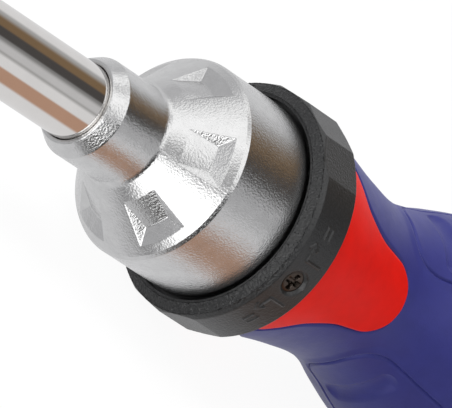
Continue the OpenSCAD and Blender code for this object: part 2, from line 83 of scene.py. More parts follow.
def material(name, color, rough, metallic=0.0, grains=(), vary=0.0, vary_scale=300.0,
             rough_vary=0.0, **sockets):
    """A procedural material: noise grains (scale per metre, height in mm, stretch) as bump,
    mottled colour and mottled roughness."""
    mat = bpy.data.materials.new(name)
    mat.use_nodes = True
    tree = mat.node_tree
    nodes, links = tree.nodes, tree.links
    bsdf = nodes["Principled BSDF"]
    bsdf.inputs["Base Color"].default_value = color
    bsdf.inputs["Roughness"].default_value = rough
    bsdf.inputs["Metallic"].default_value = metallic
    for key, value in sockets.items():
        bsdf.inputs[key.replace("_", " ")].default_value = value
    coord = nodes.new("ShaderNodeTexCoord")

    def noise(scale, detail, stretch=None):
        tex = nodes.new("ShaderNodeTexNoise")
        tex.inputs["Scale"].default_value = scale
        tex.inputs["Detail"].default_value = detail
        if stretch:
            mapping = nodes.new("ShaderNodeMapping")
            mapping.inputs["Scale"].default_value = stretch
            links.new(coord.outputs["Object"], mapping.inputs["Vector"])
            links.new(mapping.outputs["Vector"], tex.inputs["Vector"])
        else:
            links.new(coord.outputs["Object"], tex.inputs["Vector"])
        return tex

    last = None
    for scale, height, stretch in grains:
        tex = noise(scale, 4.0, stretch)
        bump = nodes.new("ShaderNodeBump")
        bump.inputs["Distance"].default_value = height * MM
        bump.inputs["Strength"].default_value = 1.0
        links.new(tex.outputs["Fac"], bump.inputs["Height"])
        if last:
            links.new(last.outputs["Normal"], bump.inputs["Normal"])
        last = bump
    if last:
        links.new(last.outputs["Normal"], bsdf.inputs["Normal"])
    if vary:
        tex = noise(vary_scale, 5.0)
        ramp = nodes.new("ShaderNodeValToRGB")
        ramp.color_ramp.elements[0].position = 0.3
        ramp.color_ramp.elements[1].position = 0.7
        ramp.color_ramp.elements[0].color = tuple(c * (1 - vary) for c in color[:3]) + (1,)
        ramp.color_ramp.elements[1].color = tuple(min(1, c * (1 + vary)) for c in color[:3]) + (1,)
        links.new(tex.outputs["Fac"], ramp.inputs["Fac"])
        links.new(ramp.outputs["Color"], bsdf.inputs["Base Color"])
    if rough_vary:
        tex = noise(vary_scale * 1.7, 3.0)
        limits = nodes.new("ShaderNodeMapRange")
        limits.inputs["To Min"].default_value = max(0.02, rough - rough_vary)
        limits.inputs["To Max"].default_value = rough + rough_vary
        links.new(tex.outputs["Fac"], limits.inputs["Value"])
        links.new(limits.outputs["Result"], bsdf.inputs["Roughness"])
    return mat


MAT = {
    "red_plastic": material("red_plastic", lin(0.96, 0.08, 0.01), 0.4, vary=0.04, vary_scale=500,
                            rough_vary=0.05, grains=[(3200, 0.016, None)],
                            Specular_IOR_Level=0.17),
    "blue_plastic": material("blue_plastic", lin(0.21, 0.22, 0.51), 0.42, vary=0.05,
                             vary_scale=420, rough_vary=0.06, grains=[(3000, 0.02, None)],
                             Specular_IOR_Level=0.36),
    "black_plastic": material("black_plastic", lin(0.14, 0.142, 0.145), 0.33, vary=0.2,
                              vary_scale=2400, rough_vary=0.08,
                              grains=[(3400, 0.08, None)], Specular_IOR_Level=0.6),
    "rack_plastic": material("rack_plastic", lin(0.16, 0.16, 0.17), 0.45, vary=0.1,
                             rough_vary=0.05, grains=[(1500, 0.02, None)]),
    "nose_casting": material("nose_casting", lin(0.82, 0.82, 0.82), 0.17, 1.0, vary=0.04,
                             vary_scale=700, rough_vary=0.05,
                             grains=[(3700, 0.054, None), (1300, 0.006, None)]),
    "shaft_chrome": material("shaft_chrome", lin(0.9, 0.89, 0.88), 0.06, 1.0, vary=0.02,
                             rough_vary=0.02, grains=[(900, 0.002, (0.08, 1, 1))]),
    "inner_steel": material("inner_steel", lin(0.66, 0.66, 0.67), 0.33, 1.0, vary=0.06,
                            rough_vary=0.08, grains=[(1800, 0.01, None)]),
    "screw_steel": material("screw_steel", lin(0.3, 0.27, 0.25), 0.26, 1.0, vary=0.12,
                            rough_vary=0.08, grains=[(2500, 0.008, None)]),
    "spring_steel": material("spring_steel", lin(0.6, 0.6, 0.62), 0.3, 1.0, vary=0.05,
                             rough_vary=0.05, grains=[(2500, 0.006, None)]),
    "bronze": material("bronze", lin(0.78, 0.62, 0.38), 0.35, 1.0, vary=0.06,
                       rough_vary=0.06, grains=[(1800, 0.01, None)]),
    "magnet": material("magnet", lin(0.42, 0.42, 0.43), 0.4, 1.0, vary=0.06, rough_vary=0.06,
                       grains=[(1800, 0.01, None)]),
    "seal_rubber": material("seal_rubber", lin(0.1, 0.1, 0.1), 0.6, vary=0.1, rough_vary=0.05,
                            grains=[(2500, 0.02, None)]),
    "bit_steel": material("bit_steel", lin(0.6, 0.61, 0.62), 0.36, 1.0, vary=0.07,
                          rough_vary=0.08, grains=[(2200, 0.012, None)]),
}
for part in frame["record"]["subparts"]:
    mesh = NODES[part["node"]].data
    mesh.materials.clear()
    mesh.materials.append(MAT[part["material_slot"]])


# Mesh helpers
def put(a, r, t):
    """Place along the tool, radius and turn in degrees to a point in the frame, in metres."""
    t = np.radians(t)
    return np.stack([(a + SHIFT_X) * MM + 0 * t, r * np.cos(t) * MM,
                     (SHIFT_Z + r * np.sin(t)) * MM], -1)


def finish_mesh(name, verts, faces, slot, body, replaced=(), sharp=32, weld=WELD):
    mesh = bpy.data.meshes.new(name)
    mesh.from_pydata([tuple(v) for v in verts], [], [tuple(f) for f in faces])
    bm = bmesh.new()
    bm.from_mesh(mesh)
    bmesh.ops.remove_doubles(bm, verts=bm.verts, dist=weld)
    bmesh.ops.dissolve_degenerate(bm, edges=bm.edges, dist=weld)
    bmesh.ops.recalc_face_normals(bm, faces=bm.faces)
    bm.to_mesh(mesh)
    bm.free()
    mesh.shade_smooth()
    mesh.set_sharp_from_angle(angle=math.radians(sharp))
    obj = bpy.data.objects.new(name, mesh)
    bpy.context.scene.collection.objects.link(obj)
    mesh.materials.append(MAT[slot])
    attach(obj, body)
    if replaced:
        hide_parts(*replaced)
    return obj


def grid_faces(rows, cols, wrap_rows, wrap_cols, offset=0):
    """Quads of a grid of vertices, closed to itself in one or both directions."""
    i = np.arange(rows if wrap_rows else rows - 1)
    j = np.arange(cols if wrap_cols else cols - 1)
    ii, jj = np.meshgrid(i, j, indexing="ij")
    i2, j2 = (ii + 1) % rows, (jj + 1) % cols
    quads = np.stack([ii * cols + jj, ii * cols + j2, i2 * cols + j2, i2 * cols + jj], -1)
    return quads.reshape(-1, 4) + offset


def rounded(points, step=None):
    """Outline of (along, radius, corner radius) points with its corners rounded off; a step
    cuts the straight stretches into pieces no longer than that."""
    out = []
    for k, (a, r, c) in enumerate(points):
        p = np.array([a, r], float)
        if c <= 0 or k in (0, len(points) - 1):
            out.append(p)
            continue
        u = np.array(points[k - 1][:2], float) - p
        v = np.array(points[k + 1][:2], float) - p
        u, v = u / np.linalg.norm(u), v / np.linalg.norm(v)
        half = math.acos(max(-1, min(1, float(u @ v)))) / 2
        reach = c / math.tan(half)
        middle = p + (u + v) / np.linalg.norm(u + v) * c / math.sin(half)
        start, end = p + u * reach - middle, p + v * reach - middle
        for f in np.linspace(0, 1, 7):
            w = start * (1 - f) + end * f
            out.append(middle + w / np.linalg.norm(w) * c)
    if not step:
        return np.array(out)
    fine = [out[0]]
    for p, q in zip(out, out[1:]):
        n = max(1, int(math.ceil(np.linalg.norm(q - p) / step)))
        fine += [p + (q - p) * i / n for i in range(1, n + 1)]
    return np.array(fine)


def step_up(x, low, high):
    """0 up to low, 1 from high on, smooth between them."""
    k = np.clip((x - low) / (high - low), 0, 1)
    return k * k * (3 - 2 * k)


def eased(distance, reach):
    """1 at an edge, falling to 0 at some distance from it."""
    return np.clip(1 - distance / reach, 0, 1) ** 2


def lathe(name, a, r, turns, slot, body, replaced=(), loop=False, sharp=32):
    """a and r are rows by turns; the first and last rows close to a point or to each other."""
    verts = put(a, r, np.broadcast_to(turns, a.shape)).reshape(-1, 3)
    faces = grid_faces(a.shape[0], a.shape[1], loop, True)
    return finish_mesh(name, verts, faces, slot, body, replaced, sharp)


def wrapped(turns, about):
    """Turns counted from another one, within half a turn each way."""
    return (turns - about + 180.0) % 360.0 - 180.0


def spline(points, n):
    """A smooth curve through points, with n steps between two of them."""
    p = np.array(points, float)
    p = np.vstack([2 * p[0] - p[1], p, 2 * p[-1] - p[-2]])
    out = []
    for k in range(1, len(p) - 2):
        for t in np.linspace(0, 1, n, endpoint=False):
            a, b, c, d = p[k - 1:k + 3]
            out.append(0.5 * (2 * b + (c - a) * t + (2 * a - 5 * b + 4 * c - d) * t * t
                              + (3 * b - a - 3 * c + d) * t ** 3))
    return np.array(out + [p[-2]])


# Shaft
SHAFT_R, SHAFT_REACH = 5.35, 74.25      # radius, and length ahead of the boss
TIP_ROUND, MOUTH_R = 0.45, 4.4
SOCKET_AF, SOCKET_DEPTH, HEX_TURN = 6.4, 15.0, 30.0
MOUTH_BEVEL, MOUTH_EASE, MOUTH_LEAST_R = 0.5, 0.3, 3.7
SNAP_INSET, SNAP_WIDTH, SNAP_R = 4.0, 1.1, 4.15      # groove of the snap ring behind the mouth
WHEEL_FRONT, WHEEL_BACK, WHEEL_AF, WHEEL_SEAT_R = -0.05, -6.9, 8.0, 4.7
TAIL_R, TAIL_END, TAIL_ROUND = 3.9, -14.25, 0.4
CLIP_FRONT, CLIP_BACK, CLIP_R = -12.13, -12.97, 3.15      # groove of the retaining ring


def hex_radius(turns, flats):
    """Radius of a hexagon by its width across the flats."""
    return flats / 2 / np.cos(np.radians((turns + 30.0) % 60.0 - 30.0))


def make_shaft():
    """One closed turning: the socket from its floor out, the round shaft and the stepped tail."""
    turns = np.arange(0, 360, 2.0)
    full = np.ones_like(turns)
    socket = hex_radius(turns + HEX_TURN, SOCKET_AF)
    wheel_hex = hex_radius(turns + HEX_TURN, WHEEL_AF)
    snap_front, snap_back = TIP - SNAP_INSET, TIP - SNAP_INSET - SNAP_WIDTH
    rows = [(TIP - SOCKET_DEPTH, 0 * full), (TIP - SOCKET_DEPTH, socket),
            (snap_back, socket), (snap_back, SNAP_R * full), (snap_front, SNAP_R * full),
            (snap_front, socket), (TIP - MOUTH_BEVEL, socket),
            (TIP, np.maximum(socket + MOUTH_EASE, MOUTH_LEAST_R))]
    outside = rounded([(TIP, MOUTH_R, 0), (TIP, SHAFT_R, TIP_ROUND), (WHEEL_FRONT, SHAFT_R, 0),
                       (WHEEL_FRONT, WHEEL_SEAT_R, 0)])
    rows += [(a, r * full) for a, r in outside]
    rows += [(WHEEL_FRONT, wheel_hex), (WHEEL_BACK, wheel_hex)]
    tail = rounded([(WHEEL_BACK, TAIL_R, 0), (CLIP_FRONT, TAIL_R, 0), (CLIP_FRONT, CLIP_R, 0),
                    (CLIP_BACK, CLIP_R, 0), (CLIP_BACK, TAIL_R, 0),
                    (TAIL_END, TAIL_R, TAIL_ROUND), (TAIL_END, 0, 0)])
    rows += [(a, r * full) for a, r in tail]
    a = np.array([row[0] * full for row in rows])
    r = np.array([row[1] for row in rows])
    lathe("shaft_body", a, r, turns, "shaft_chrome", "spindle", ["shaft"], sharp=30)


# Nose
BOSS_FRONT, BOSS_R, BOSS_BEVEL = TIP - SHAFT_REACH, 7.15, 2.15
BOSS_FACE_R, BOSS_LIP_R, BORE_EDGE_R = 6.0, 5.75, 5.55
BOSS_FOOT, FOOT_ROUND = 20.464, 1.7      # where the boss meets the cone, and its fillet
CONE_TOP, CONE_FOOT = np.array([20.3, 7.3]), np.array([12.62, 14.33])
CONE_START, CONE_END, CONE_ROWS = 0.5, 9.9, 96      # stretch of the cone's slope, from its top
NOSE_R, NOSE_BACK, NOSE_EDGE_R = 14.36, -0.9, 13.0
RIM_FRONT, RIM_BACK = (12.87, 14.1), (12.31, NOSE_R)      # bevel between cone and cylinder
OUTLINE_STEP = 0.5
CHAMBER_R, CHAMBER_FRONT = 8.8, 0.9
CUT_BACK, CUT_FRONT = 12.7, 20.4      # only this stretch of the outline takes the pockets
POCKET_TURN, POCKET_HALF = 44.5, 15.5      # middle of the first cast pocket, half its width
POCKET_IN, POCKET_FLOOR, POCKET_OUT = 9.0, 11.8, 13.25      # radii along a pocket
POCKET_DEEP, POCKET_FLOOR_HALF, POCKET_PITCH = 1.0, 9.6, 60.0


def recess_depth(r, turns):
    """How deep the six cast pockets lie under the cone: a sloping floor, two side walls that
    grow outwards and a slanted outer wall."""
    nearest = POCKET_TURN + POCKET_PITCH * np.round(wrapped(turns, POCKET_TURN) / POCKET_PITCH)
    off = np.abs(wrapped(turns, nearest))
    floor = POCKET_DEEP * (r - POCKET_IN) / (POCKET_FLOOR - POCKET_IN)
    side = POCKET_DEEP * (POCKET_HALF - off) / (POCKET_HALF - POCKET_FLOOR_HALF) * r / POCKET_FLOOR
    outer = POCKET_DEEP * (POCKET_OUT - r) / (POCKET_OUT - POCKET_FLOOR)
    return np.clip(np.minimum(np.minimum(floor, side), outer), 0, None)


def make_nose():
    turns = np.arange(0, 360, 0.4)
    down = (CONE_FOOT - CONE_TOP) / np.linalg.norm(CONE_FOOT - CONE_TOP)
    cone = CONE_TOP + down * np.linspace(CONE_START, CONE_END, CONE_ROWS)[:, None]
    boss = rounded([(BOSS_FRONT, BOSS_LIP_R, 0), (BOSS_FRONT, BOSS_FACE_R, 0.25),
                    (BOSS_FRONT - BOSS_BEVEL, BOSS_R, 0.5), (BOSS_FOOT, BOSS_R, FOOT_ROUND),
                    (*cone[0], 0)], OUTLINE_STEP)
    skirt = rounded([(*cone[-1], 0), (*RIM_FRONT, 0.1), (*RIM_BACK, 0.15),
                     (NOSE_BACK, NOSE_R, 0.45), (NOSE_BACK, NOSE_EDGE_R, 0)], OUTLINE_STEP)
    line = np.vstack([boss, cone[1:], skirt[1:]])
    a0, r0 = line[:, :1], line[:, 1:]
    on_cone = (a0 > CUT_BACK) & (a0 < CUT_FRONT)
    cut = recess_depth(r0 + 0 * turns, turns + 0 * r0) * on_cone
    bore_r = SHAFT_R + RUN_FIT
    inside = np.array([(NOSE_BACK, CHAMBER_R), (CHAMBER_FRONT, CHAMBER_R),
                       (CHAMBER_FRONT, bore_r), (BOSS_FRONT - 0.25, bore_r),
                       (BOSS_FRONT, BORE_EDGE_R)])
    a = np.vstack([a0 - down[1] * cut, np.repeat(inside[:, :1], len(turns), 1)])
    r = np.vstack([r0 + down[0] * cut, np.repeat(inside[:, 1:], len(turns), 1)])
    lathe("nose_shell", a, r, turns, "nose_casting", "handle", ["nose_housing"], loop=True,
          sharp=70)


def make_journal():
    """The journal that the ring turns on, with its pawl pockets: the source's own, cut free."""
    bm = bmesh.new()
    bm.from_mesh(NODES["nose_housing"].data)
    plane = Vector(((SHIFT_X + NOSE_BACK) * MM, 0, 0))
    cut = bmesh.ops.bisect_plane(bm, geom=bm.verts[:] + bm.edges[:] + bm.faces[:], dist=WELD,
                                 plane_co=plane, plane_no=Vector((1, 0, 0)), clear_outer=True)
    edges = [g for g in cut["geom_cut"] if isinstance(g, bmesh.types.BMEdge)]
    bmesh.ops.triangle_fill(bm, edges=edges, use_beauty=True)
    mesh = bpy.data.meshes.new("nose_journal")
    bm.to_mesh(mesh)
    bm.free()
    obj = bpy.data.objects.new("nose_journal", mesh)
    bpy.context.scene.collection.objects.link(obj)
    mesh.materials.append(MAT["nose_casting"])
    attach(obj, "handle")
    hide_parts("nose_housing")


# Selector ring
RING_R, RING_FRONT, RING_BACK = 17.0, 0.2, -7.6
RING_BORE, RING_FLOOR, RING_FACE_R, LIP_R = 12.65, -1.2, 15.0, 14.8
# outside of the ring from its front lip to its back, with corner radii
RING_LINE = [(0.1, LIP_R, 0.1), (RING_FRONT, 15.2, 0.2), (-0.45, 16.6, 0.3), (-1.2, RING_R, 0.5),
             (RING_BACK + 0.4, RING_R, 0.2), (RING_BACK, 16.6, 0.1), (RING_BACK, 14.0, 0)]
RING_STEP = 0.14
ROUND_HALF, FLATS = 50.0, 12        # half the ring's round stretch, and its flats
# the front face has a coarser moulded grain than the rest: how strong it is, and where it ends
GRAIN_HIGH, GRAIN_ALONG, GRAIN_OUT = 0.03, 1.2, 0.4
GRAIN_END, GRAIN_FULL, GRAIN_INNER_R = -0.9, -0.4, 14.9
SCREW_A = -4.0
SINK_R, SINK_SLOPE, SINK_DEEP, SINK_HALF = 2.0, 1.1, 1.2, 20.0      # countersink of the screw
# strokes beside the screw, as points round and along the ring from it
ARROW = [[(3.4, -1.7), (3.4, 1.0), (5.9, 1.0)], [(5.1, 1.7), (5.9, 1.0), (5.1, 0.3)],
         [(7.0, 0.15), (8.6, 0.15)], [(7.0, -0.75), (8.6, -0.75)]]
STROKE_HALF, STROKE_HIGH = 0.1, 0.16
MARKS_BACK, MARKS_FRONT = (6.9, 7.2), (0.8, 1.3)      # behind the nose's edge, where they fade
# the cam pockets follow the pawls' tails, each given as out from and round from its pivot
PIVOT_R, PIVOT_TURN, PAWL_TILT = 11.0, WINDOW + 180.0 + 35.0, 14.0
TAIL_OUT, TAIL_ROUND_IT, TAIL_CLEAR = 1.8, -2.6, 0.15
CAM_MID, CAM_RUN, CAM_FRONT = WINDOW + 180.0 - SWING / 2, 10.0, -1.3


def stroke(x, y, path):
    """Distance outside a drawn line of some width."""
    best = np.full(x.shape, 9.0)
    for (x0, y0), (x1, y1) in zip(path, path[1:]):
        dx, dy = x1 - x0, y1 - y0
        k = np.clip(((x - x0) * dx + (y - y0) * dy) / (dx * dx + dy * dy), 0, 1)
        best = np.minimum(best, np.hypot(x - x0 - k * dx, y - y0 - k * dy))
    return best - STROKE_HALF


def ring_marks(a, side):
    """Height of the thin moulded strokes beside the screw: a bent arrow each way."""
    high = np.zeros(a.shape)
    for hand in (-1, 1):
        near = stroke(hand * side, a - SCREW_A, ARROW[0])
        for path in ARROW[1:]:
            near = np.minimum(near, stroke(hand * side, a - SCREW_A, path))
        high = np.maximum(high, STROKE_HIGH * (1 - step_up(near, -0.05, 0.14)))
    return high


def pocket_radius(turns):
    """Inner radius of the ring where the pawls' tails run."""
    k = np.linspace(0, 1, 40)
    tilt = np.radians(-PAWL_TILT * k)
    x = PIVOT_R + TAIL_OUT * np.cos(tilt) - TAIL_ROUND_IT * np.sin(tilt)
    y = TAIL_OUT * np.sin(tilt) + TAIL_ROUND_IT * np.cos(tilt)
    reach = np.hypot(x, y) + TAIL_CLEAR
    at = PIVOT_TURN + np.degrees(np.arctan2(y, x)) - SWING * k
    out = np.full(turns.shape, RING_BORE)
    for t in (turns, 2 * CAM_MID - turns):
        t = t % 360.0
        ramp = np.interp(t, at[::-1], reach[::-1], left=0, right=0)
        flat = np.where((t >= at[0]) & (t <= at[0] + CAM_RUN), reach[0], 0)
        out = np.maximum(out, np.maximum(ramp, flat))
    return out


def make_ring():
    turns = np.arange(0, 360, 0.4) + REST
    phi = wrapped(turns, REST)
    flat_span = (360 - 2 * ROUND_HALF) / FLATS
    local = (np.abs(phi) - ROUND_HALF) % flat_span - flat_span / 2
    flat = RING_R * math.cos(math.radians(flat_span / 2)) / np.cos(np.radians(local))
    outer = np.where(np.abs(phi) <= ROUND_HALF, RING_R, flat)
    line = rounded(RING_LINE, RING_STEP)
    a0, r0 = line[:, :1] + 0 * turns, line[:, 1:] + 0 * turns
    r = np.minimum(r0, outer)
    side = r * np.radians(phi)
    band = step_up(-a0, *MARKS_FRONT) * (1 - step_up(-a0, *MARKS_BACK))
    r = r + ring_marks(a0, side) * band * (np.abs(phi) < ROUND_HALF)
    from_screw = np.hypot(a0 - SCREW_A, side)
    sunk = SINK_DEEP * np.clip((SINK_R - from_screw) / SINK_SLOPE, 0, 1)
    r = r - sunk * (np.abs(phi) < SINK_HALF)
    grain = np.random.default_rng(7).normal(0, GRAIN_HIGH, r.shape)
    grain = grain * step_up(a0, GRAIN_END, GRAIN_FULL) * (r0 > GRAIN_INNER_R)
    a0 = a0 + grain * GRAIN_ALONG
    r = r + grain * GRAIN_OUT
    cam, full = pocket_radius(turns), np.ones_like(turns)
    inside = [(RING_BACK, cam), (CAM_FRONT, cam), (CAM_FRONT, RING_BORE * full),
              (RING_FLOOR, RING_BORE * full), (RING_FLOOR, RING_FACE_R * full),
              (-0.2, RING_FACE_R * full), (0.0, LIP_R * full)]
    a = np.vstack([a0] + [row[0] * full for row in inside])
    r = np.vstack([r] + [row[1] for row in inside])
    lathe("selector_shell", a, r, turns, "black_plastic", "selector", ["selector_ring"],
          loop=True, sharp=40)


# Ring screw, by heights from the tool's axis and radii about the screw's own
HEAD_TOP, HEAD_R, HEAD_FOOT, SHANK_R, SHANK_END = 16.62, 1.7, 15.6, 0.8, 11.5
CROSS_REACH, CROSS_HALF, CROSS_DEEP = 1.1, 0.27, 0.55


def make_ring_screw():
    """Countersunk screw with a cross recess, its axis along the rest direction."""
    turns = np.arange(0, 360, 5.0)
    face = [(HEAD_TOP, q) for q in np.linspace(0, 1.25, 6)] + [(HEAD_TOP - 0.02, 1.5)]
    line = face + [(HEAD_TOP - 0.12, HEAD_R - 0.02), (HEAD_TOP - 0.22, HEAD_R),
                   (HEAD_FOOT, SHANK_R + 0.05), (HEAD_FOOT - 0.1, SHANK_R),
                   (SHANK_END + 0.2, SHANK_R), (SHANK_END, SHANK_R - 0.15), (SHANK_END, 0.0)]
    h = np.array([p[0] for p in line])[:, None] + 0 * turns
    q = np.array([p[1] for p in line])[:, None] + 0 * turns
    x, y = q * np.cos(np.radians(turns)), q * np.sin(np.radians(turns))
    arm = np.minimum(np.maximum(np.abs(x) - CROSS_REACH, np.abs(y) - CROSS_HALF),
                     np.maximum(np.abs(y) - CROSS_REACH, np.abs(x) - CROSS_HALF))
    on_face = (np.arange(len(line)) < len(face))[:, None]
    h = h - CROSS_DEEP * (1 - step_up(arm, -0.05, 0.12)) * on_face
    out = np.radians(REST)
    radial = np.array([0, math.cos(out), math.sin(out)])
    around = np.array([0, -math.sin(out), math.cos(out)])
    along = np.array([1.0, 0, 0])
    verts = (h[..., None] * radial + y[..., None] * around
             + (x[..., None] + SCREW_A + SHIFT_X) * along) * MM
    verts = verts + np.array([0, 0, SHIFT_Z * MM])
    faces = grid_faces(len(line), len(turns), False, True)
    finish_mesh("selector_screw_body", verts.reshape(-1, 3), faces, "screw_steel", "selector",
                ["selector_screw"], 35)


# Handle
GRIP_FRONT, GRIP_LEN, GRIP_R = RING_BACK - 0.3, 102.0, 18.6
GRIP_BACK = GRIP_FRONT - GRIP_LEN
# shares of the grip's length and of its largest radius
STATIONS = [(0, 0.836), (0.0402, 0.7957), (0.0961, 0.7258), (0.1431, 0.6828), (0.1873, 0.6667),
            (0.2167, 0.6774), (0.251, 0.7204), (0.2951, 0.8065), (0.3637, 0.914),
            (0.4618, 0.9839), (0.6088, 1), (0.7559, 0.9677), (0.9029, 0.914), (1, 0.8548)]
PROFILE = spline([(GRIP_FRONT - GRIP_LEN * s, GRIP_R * share) for s, share in STATIONS], 12)
# half width of a red tongue by the distance behind the ring
TONGUE = [(0, 13.25), (2.0, 12.7), (3.6, 11.35), (5.9, 9.2), (8.6, 7.75), (11.5, 6.6), (14.4, 6.0),
          (16.8, 5.4), (18.4, 4.2), (19.3, 2.8), (19.65, 1.3), (19.75, 0)]
SLEEVE_T, SEAM = 2.8, 0.02         # thickness of the shell, and a step between hidden faces
EDGE_DEEP, EDGE_WIDE = 0.3, 0.4    # how the skin bends in at both ends of the grip
SIDE_WIDE = 0.5                    # the same beside a tongue
TONGUE_GAP = 0.3                   # turn between a tongue and the shell
TONGUE_LOW, TONGUE_EDGE = 0.06, 0.25      # how far a tongue lies under the skin, and its sides
TONGUE_COLUMNS, CROWDING = 60, 0.4        # the columns stand closer together at both sides
FLAT_R, FLAT_SOFT = 16.8, 0.18            # flats behind the tongues
FLAT_START, FLAT_FULL = 38, 46            # where they start, counted back
PANEL_TURN, PANEL_HALF_TURN = 90.0, 30.0
PANEL_MID, PANEL_HALF, PANEL_CORNER = -63.7, 36.2, 5.0
GROOVE_DEEP, GROOVE_WIDE = 0.36, 0.2      # line round a panel
LOWER_DEEP, LOWER_WIDE = 0.22, 1.6        # the skin outside the panels lies lower
LOWER_FRONT, LOWER_BACK = (20, 26), (104, 108)      # where that starts and ends, counted back
DIMPLES, DIMPLE_FIRST, DIMPLE_PITCH = 8, -34.5, 7.4
DIMPLE_HALF_TURN, DIMPLE_HALF, DIMPLE_DEEP = 18.0, 1.5, 0.5


def grip_radius(a):
    return np.interp(-a, -PROFILE[:, 0], PROFILE[:, 1])


def nearest_third(turns, first):
    """Turns from the nearest of three equal features."""
    return wrapped(turns, first + THIRD * np.round(wrapped(turns, first) / THIRD))


def grip_surface(a, turns, carved=True):
    """Radius of the handle's skin: three flats, three outlined panels and their grip dimples."""
    base = grip_radius(a)
    flat = FLAT_R / np.cos(np.radians(nearest_third(turns, WINDOW)))
    over = FLAT_SOFT * np.logaddexp(0, (base - flat) / FLAT_SOFT)
    r = base - over * step_up(-a, FLAT_START, FLAT_FULL)
    if not carved:
        return r
    side = base * np.radians(nearest_third(turns, PANEL_TURN))
    half_side = base * math.radians(PANEL_HALF_TURN)
    x = np.abs(a - PANEL_MID) - PANEL_HALF + PANEL_CORNER
    y = np.abs(side) - half_side + PANEL_CORNER
    edge = np.hypot(np.maximum(x, 0), np.maximum(y, 0)) + np.minimum(np.maximum(x, y), 0)
    edge = edge - PANEL_CORNER
    groove = GROOVE_DEEP * np.exp(-(edge / GROOVE_WIDE) ** 2)
    band = step_up(-a, *LOWER_FRONT) * (1 - step_up(-a, *LOWER_BACK))
    r = r - groove - LOWER_DEEP * step_up(edge, 0.0, LOWER_WIDE) * band
    beyond = np.maximum(np.abs(side) - base * math.radians(DIMPLE_HALF_TURN), 0)
    for k in range(DIMPLES):
        away = np.hypot(a - DIMPLE_FIRST + DIMPLE_PITCH * k, beyond) / DIMPLE_HALF
        r = r - DIMPLE_DEEP * np.clip(1 - away ** 2, 0, 1) ** 0.8
    return r


def paced(start, end, step):
    """Values from start to end, no further apart than a step."""
    return np.linspace(start, end, int(abs(end - start) / step) + 2)


def tongue_rows(n):
    """Places along a tongue, and half its width there in degrees."""
    line = spline(TONGUE, n)
    a = GRIP_FRONT - line[:, 0]
    return a, np.degrees(np.arcsin(np.clip(line[:, 1] / grip_radius(a), 0, 1)))


def slab(a, r, t, depth, open_rows, first=0):
    """A stretch of skin, its inside at a depth under the grip's outline, both ends, and the
    side walls of the first rows. Its vertices are numbered from first."""
    rows, n = a.shape
    verts = np.vstack([put(a, r, t).reshape(-1, 3),
                       put(a, grip_radius(a) - depth, t).reshape(-1, 3)])
    inside = first + rows * n
    faces = [grid_faces(rows, n, False, False, first),
             grid_faces(rows, n, False, False, inside)[:, ::-1]]
    ends = [(row * n + j, row * n + j + 1) for row in (0, rows - 1) for j in range(n - 1)]
    sides = [(m * n + col, (m + 1) * n + col) for col in (0, n - 1) for m in range(open_rows)]
    faces.append(np.array([(first + p, first + q, inside + q, inside + p)
                           for p, q in ends + sides]))
    return verts, np.vstack(faces)


def make_grip():
    """The blue shell in three stretches, each from one tongue to the next."""
    front_a, half = tongue_rows(9)
    # rows lie closer where panels end, and columns where they have their edges
    stops = [(front_a[-1], 0.2), (-34, 0.35), (-93.5, 0.2), (-101, 0.5), (GRIP_BACK, 0)]
    rear_a = np.concatenate([paced(p, q, step)[1:]
                             for (p, step), (q, _) in zip(stops, stops[1:])])
    a_rows = np.concatenate([front_a, rear_a])
    half = np.concatenate([half, np.zeros(len(rear_a))])
    near = np.concatenate([paced(0, 13, 1.3), paced(13, 32, 0.5)[1:], paced(32, 58.5, 1.6)[1:],
                           paced(58.5, 60, 0.4)[1:]])
    s = 0.5 + np.concatenate([-near[::-1], near[1:]]) / THIRD
    width = (THIRD - 2 * half)[:, None]
    beside_tongue = (half > 0)[:, None]
    verts, faces, count = [], [], 0
    for k in range(3):
        t = (WINDOW + THIRD * k + half)[:, None] + width * s
        a = a_rows[:, None] + 0 * t
        r = grip_surface(a, t)
        arc = np.minimum(s, 1 - s) * np.radians(width) * r
        r = r - EDGE_DEEP * eased(arc, SIDE_WIDE) * beside_tongue
        r = r - EDGE_DEEP * (eased(GRIP_FRONT - a, EDGE_WIDE) + eased(a - GRIP_BACK, EDGE_WIDE))
        piece, quads = slab(a, r, t, SLEEVE_T, len(front_a) - 1, count)
        verts.append(piece)
        faces.append(quads)
        count += len(piece)
    finish_mesh("grip_shell", np.vstack(verts), np.vstack(faces), "blue_plastic", "handle",
                ["grip_sleeve"], 40, 2 * WELD)


def make_tongues():
    """The red windows that stand up through the blue shell."""
    a_rows, half = tongue_rows(12)
    a_rows, half = a_rows[:-1], half[:-1]
    even = np.linspace(0, 1, TONGUE_COLUMNS)
    s = CROWDING * (1 - np.cos(math.pi * even)) / 2 + (1 - CROWDING) * even
    shrink = np.maximum(half - TONGUE_GAP, 0.05)[:, None]
    for k in range(3):
        t = WINDOW + THIRD * k + shrink * (2 * s - 1)
        a = a_rows[:, None] + 0 * t
        r = grip_surface(a, t, False)
        arc = np.minimum(s, 1 - s) * 2 * np.radians(shrink) * r
        r = r - TONGUE_LOW - TONGUE_EDGE * eased(arc, EDGE_WIDE)
        r = r - EDGE_DEEP * eased(GRIP_FRONT - a, EDGE_WIDE)
        verts, faces = slab(a, r, t, SLEEVE_T - SEAM, len(a_rows) - 1)
        finish_mesh(f"red_tongue_{k + 1}", verts, faces, "red_plastic", "handle", (), 40)


# Core: sockets ahead for the back plate and for the spindle's tail, behind for the bits
SEAT_R, SEAT_FLOOR, HUB_R, HUB_FLOOR = 12.71, -9.82, 8.02, -24.3
STORE_R, STORE_FLOOR = 11.2, -55.9


